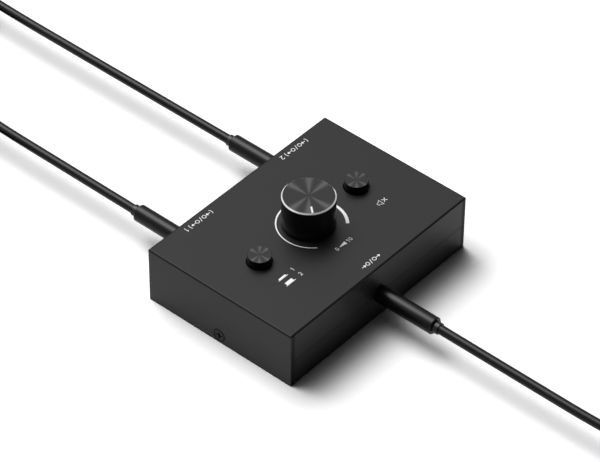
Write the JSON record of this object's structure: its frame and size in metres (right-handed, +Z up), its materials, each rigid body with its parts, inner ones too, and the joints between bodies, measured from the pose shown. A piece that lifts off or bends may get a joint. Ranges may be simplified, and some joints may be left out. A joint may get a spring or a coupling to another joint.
{
  "type": "audio switch box",
  "caption": "Flat black audio switch box with a volume knob, push buttons for source and mute, 3.5 mm jacks and plugged-in coiled leads.",
  "frame": {"origin": "on the table under the middle of the case", "axes": "+X along the case's long side, +Z up through the volume knob, and the single jack in the front wall at -Y"},
  "size_m": [0.1426, 0.4708, 0.039],
  "materials": {
    "case_paint": "matt black powder coat",
    "screw_black": "black oxide",
    "board_laminate": "green laminate",
    "plated_steel": "zinc plated",
    "jack_plastic": "black moulded",
    "contact_metal": "tinned",
    "switch_plastic": "dark grey moulded",
    "track_carbon": "carbon film",
    "knob_metal": "black anodised, bright cut rim, spun top",
    "pointer_white": "white fill",
    "button_metal": "black anodised, spun top",
    "spring_steel": "drawn wire",
    "grip_plastic": "black moulded, satin",
    "grip_rubber": "soft black",
    "plug_plating": "nickel plated",
    "insulator_plastic": "black rings",
    "cord_jacket": "black flexible jacket",
    "tie_fabric": "black hook-and-loop strap"
  },
  "bodies": {
    "case": {"top_cover": "case_paint", "base_tray": "case_paint", "cover_screws": "screw_black", "circuit_board": "board_laminate", "board_standoffs": "plated_steel", "board_screws": "plated_steel", "front_jack_housing": "jack_plastic", "rear_jack_1_housing": "jack_plastic", "rear_jack_2_housing": "jack_plastic", "jack_contacts": "contact_metal", "pot_housing": "switch_plastic", "pot_terminals": "contact_metal", "pot_track": "track_carbon", "pot_bushing": "plated_steel", "select_spring": "spring_steel", "select_switch_housing": "switch_plastic", "select_switch_terminals": "contact_metal", "mute_spring": "spring_steel", "mute_switch_housing": "switch_plastic", "mute_switch_terminals": "contact_metal"},
    "volume_knob": {"knob": "knob_metal", "knob_pointer": "pointer_white", "pot_shaft": "plated_steel", "pot_rotor": "switch_plastic"},
    "select_button": {"select_button_cap": "button_metal", "select_plunger": "switch_plastic", "select_bridge": "contact_metal"},
    "mute_button": {"mute_button_cap": "button_metal", "mute_plunger": "switch_plastic", "mute_bridge": "contact_metal"},
    "front_lead": {"front_lead_plug_grip": "grip_plastic", "front_lead_plug_relief": "grip_rubber", "front_lead_plug_contacts": "plug_plating", "front_lead_insulators": "insulator_plastic", "front_lead_cord": "cord_jacket", "front_lead_coil": "cord_jacket", "front_lead_tie": "tie_fabric", "front_lead_end_grip": "grip_plastic", "front_lead_end_relief": "grip_rubber", "front_lead_end_contacts": "plug_plating"},
    "rear_lead_1": {"rear_lead_1_plug_grip": "grip_plastic", "rear_lead_1_plug_relief": "grip_rubber", "rear_lead_1_plug_contacts": "plug_plating", "rear_lead_1_insulators": "insulator_plastic", "rear_lead_1_cord": "cord_jacket", "rear_lead_1_coil": "cord_jacket", "rear_lead_1_tie": "tie_fabric", "rear_lead_1_end_grip": "grip_plastic", "rear_lead_1_end_relief": "grip_rubber", "rear_lead_1_end_contacts": "plug_plating"},
    "rear_lead_2": {"rear_lead_2_plug_grip": "grip_plastic", "rear_lead_2_plug_relief": "grip_rubber", "rear_lead_2_plug_contacts": "plug_plating", "rear_lead_2_insulators": "insulator_plastic", "rear_lead_2_cord": "cord_jacket", "rear_lead_2_coil": "cord_jacket", "rear_lead_2_tie": "tie_fabric", "rear_lead_2_end_grip": "grip_plastic", "rear_lead_2_end_relief": "grip_rubber", "rear_lead_2_end_contacts": "plug_plating"}
  },
  "joints": [
    {"name": "volume_turn", "type": "hinge", "parent": "case", "child": "volume_knob", "pos_m": [0, 0, 0.03], "axis": [0, 0, -1], "range_deg": [0, 280]},
    {"name": "select_press", "type": "slide", "parent": "case", "child": "select_button", "axis": [0, 0, -1], "range_m": [0, 0.0025], "stiffness_N_per_m": 600, "springref_m": -0.001, "deforming": ["select_spring"]},
    {"name": "mute_press", "type": "slide", "parent": "case", "child": "mute_button", "axis": [0, 0, -1], "range_m": [0, 0.0025], "stiffness_N_per_m": 600, "springref_m": -0.001, "deforming": ["mute_spring"]},
    {"name": "front_lead_pull", "type": "slide", "parent": "case", "child": "front_lead", "axis": [0, -1, 0], "range_m": [0, 0.018]},
    {"name": "rear_lead_1_pull", "type": "slide", "parent": "case", "child": "rear_lead_1", "axis": [0, 1, 0], "range_m": [0, 0.018]},
    {"name": "rear_lead_2_pull", "type": "slide", "parent": "case", "child": "rear_lead_2", "axis": [0, 1, 0], "range_m": [0, 0.018]}
  ]
}
